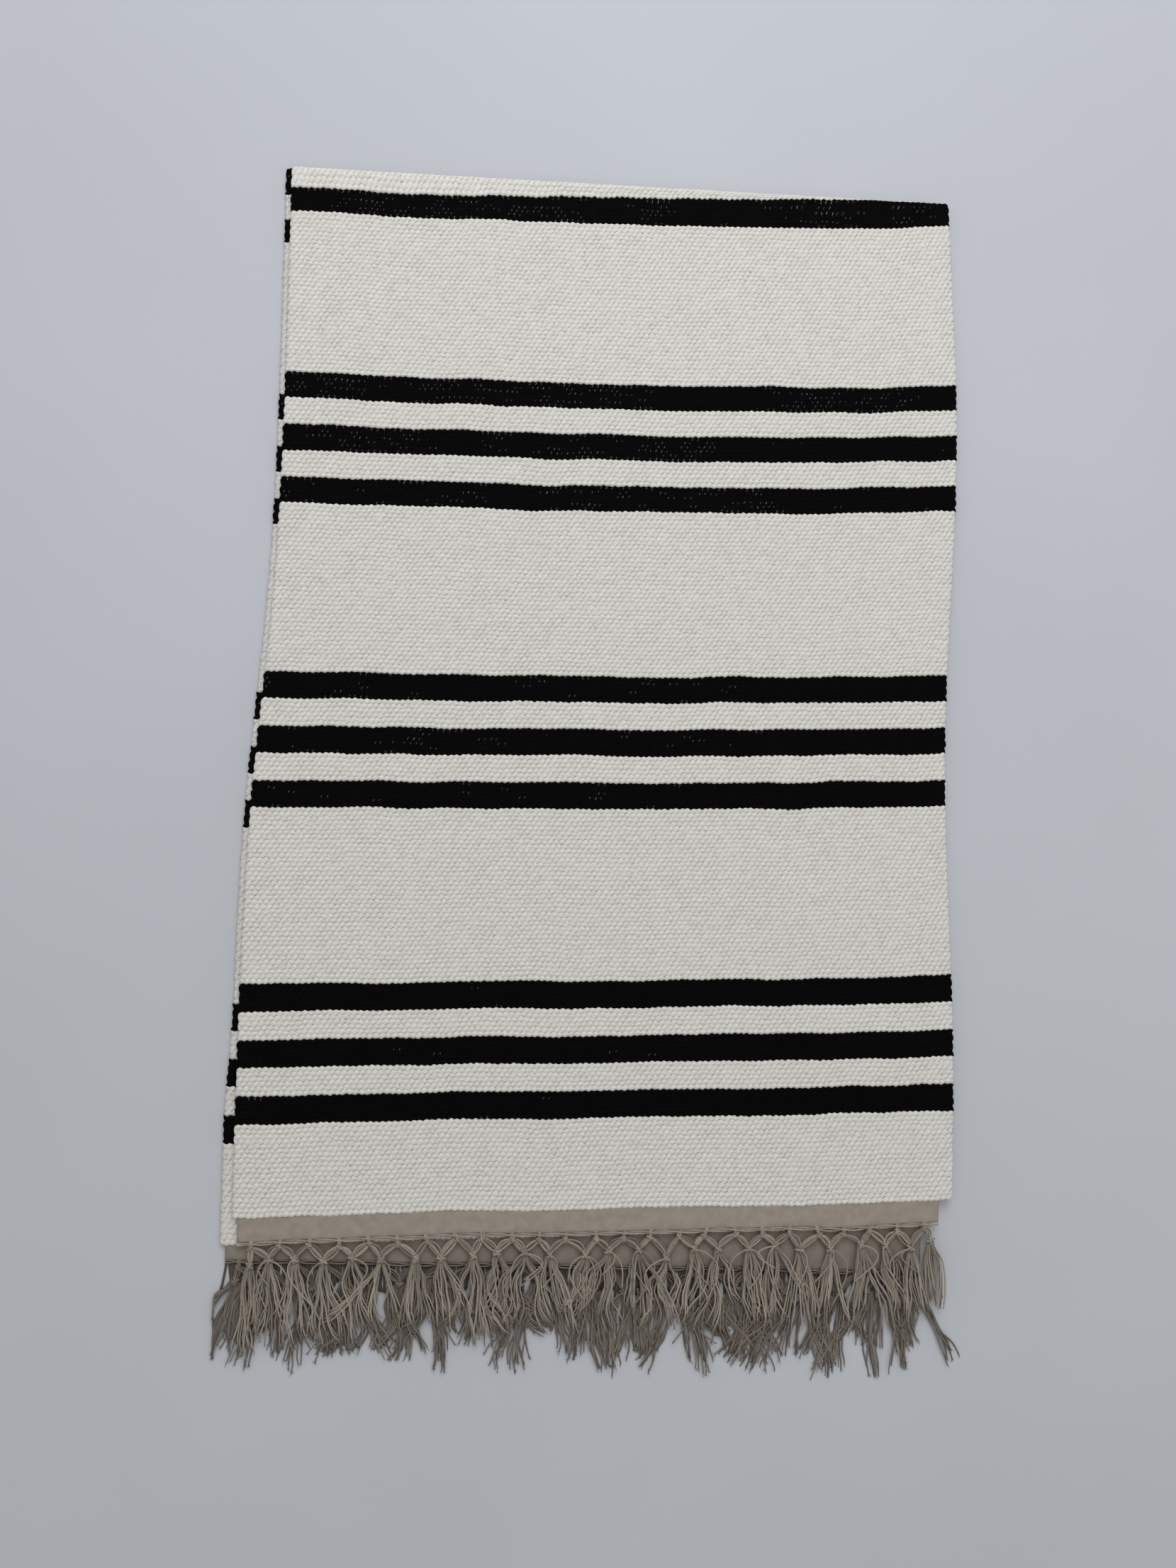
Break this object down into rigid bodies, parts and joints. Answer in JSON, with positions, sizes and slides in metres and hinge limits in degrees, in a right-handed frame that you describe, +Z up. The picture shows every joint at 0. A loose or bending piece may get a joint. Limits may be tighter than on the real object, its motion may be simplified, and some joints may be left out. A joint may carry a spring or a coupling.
{
  "type": "runner rug",
  "caption": "Flat-woven cotton runner rug with black stripe bands on ivory, taupe headers and a knotted fringe at both ends, folded once across the middle.",
  "frame": {"origin": "centre of the folded rug's footprint, on the floor", "axes": "+Y along the rug towards the fold, +X across it, +Z up; both fringes point to -Y"},
  "size_m": [0.6084, 1.0264, 0.0104],
  "materials": {
    "ivory_cotton": "matte",
    "black_cotton": "matte",
    "taupe_cotton": "matte",
    "warp_cotton": "matte",
    "fringe_cotton": "matte"
  },
  "bodies": {
    "lower_leaf": {"lower_header": "taupe_cotton", "lower_ivory_end": "ivory_cotton", "lower_stripe_1a": "black_cotton", "lower_gap_1a": "ivory_cotton", "lower_stripe_1b": "black_cotton", "lower_gap_1b": "ivory_cotton", "lower_stripe_1c": "black_cotton", "lower_field_1": "ivory_cotton", "lower_stripe_2a": "black_cotton", "lower_gap_2a": "ivory_cotton", "lower_stripe_2b": "black_cotton", "lower_gap_2b": "ivory_cotton", "lower_stripe_2c": "black_cotton", "lower_field_2": "ivory_cotton", "lower_stripe_3a": "black_cotton", "lower_gap_3a": "ivory_cotton", "lower_stripe_3b": "black_cotton", "lower_gap_3b": "ivory_cotton", "lower_stripe_3c": "black_cotton", "lower_field_3": "ivory_cotton", "lower_stripe_4a": "black_cotton", "lower_gap_4a": "ivory_cotton", "lower_middle_stripe": "black_cotton", "lower_warp_sheet": "warp_cotton", "lower_twined_edge": "fringe_cotton", "lower_fringe": "fringe_cotton", "fold_bend_black": "black_cotton"},
    "upper_leaf": {"upper_header": "taupe_cotton", "upper_ivory_end": "ivory_cotton", "upper_stripe_1a": "black_cotton", "upper_gap_1a": "ivory_cotton", "upper_stripe_1b": "black_cotton", "upper_gap_1b": "ivory_cotton", "upper_stripe_1c": "black_cotton", "upper_field_1": "ivory_cotton", "upper_stripe_2a": "black_cotton", "upper_gap_2a": "ivory_cotton", "upper_stripe_2b": "black_cotton", "upper_gap_2b": "ivory_cotton", "upper_stripe_2c": "black_cotton", "upper_field_2": "ivory_cotton", "upper_stripe_3a": "black_cotton", "upper_gap_3a": "ivory_cotton", "upper_stripe_3b": "black_cotton", "upper_gap_3b": "ivory_cotton", "upper_stripe_3c": "black_cotton", "upper_field_3": "ivory_cotton", "upper_stripe_4a": "black_cotton", "upper_gap_4a": "ivory_cotton", "upper_warp_sheet": "warp_cotton", "upper_twined_edge": "fringe_cotton", "upper_fringe": "fringe_cotton", "fold_bend_ivory": "ivory_cotton"}
  },
  "joints": [
    {"name": "unfold", "type": "hinge", "parent": "lower_leaf", "child": "upper_leaf", "pos_m": [0, 0.50797, 0.0052], "axis": [-1, 0, 0], "range_deg": [0, 179.9], "deforming": ["fold_bend_black", "fold_bend_ivory"]}
  ]
}
